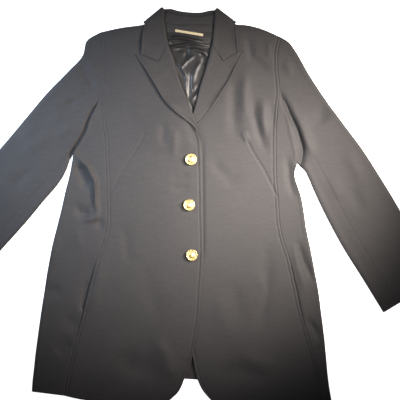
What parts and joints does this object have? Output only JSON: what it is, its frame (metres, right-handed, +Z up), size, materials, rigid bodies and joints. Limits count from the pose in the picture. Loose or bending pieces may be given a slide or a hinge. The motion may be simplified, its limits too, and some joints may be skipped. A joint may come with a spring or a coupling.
{
  "type": "blazer",
  "caption": "Woman's long single-breasted blazer with peak lapels, bust darts, in-seam pockets and domed metal buttons, lying flat on its back.",
  "frame": {"origin": "a point on the underside of the back, on the surface the blazer lies on, 20 mm to the left front's side of the button line and a little below the middle button", "axes": "+Z up from the surface, out of the fronts; +Y towards the collar; +X towards the wearer's left"},
  "size_m": [1.162, 0.8821, 0.0189],
  "materials": {
    "twill": "fine charcoal wool twill with a soft sheen",
    "facing": "the same charcoal twill, pressed and edge-stitched",
    "satin": "charcoal satin lining",
    "label": "cream woven tape, bare",
    "gilt": "polished gilt, slightly worn"
  },
  "bodies": {
    "root": {"back": "twill", "right_front": "twill", "left_front": "twill", "right_side_panel": "twill", "left_side_panel": "twill", "right_top_sleeve": "twill", "right_under_sleeve": "twill", "left_top_sleeve": "twill", "left_under_sleeve": "twill", "right_lapel": "facing", "left_lapel": "facing", "collar_fall": "facing", "collar_stand": "facing", "back_neck_facing": "facing", "right_pocket": "facing", "left_pocket": "facing", "back_lining": "satin", "neck_label": "label", "button_1": "gilt", "button_2": "gilt", "button_3": "gilt"}
  },
  "joints": []
}
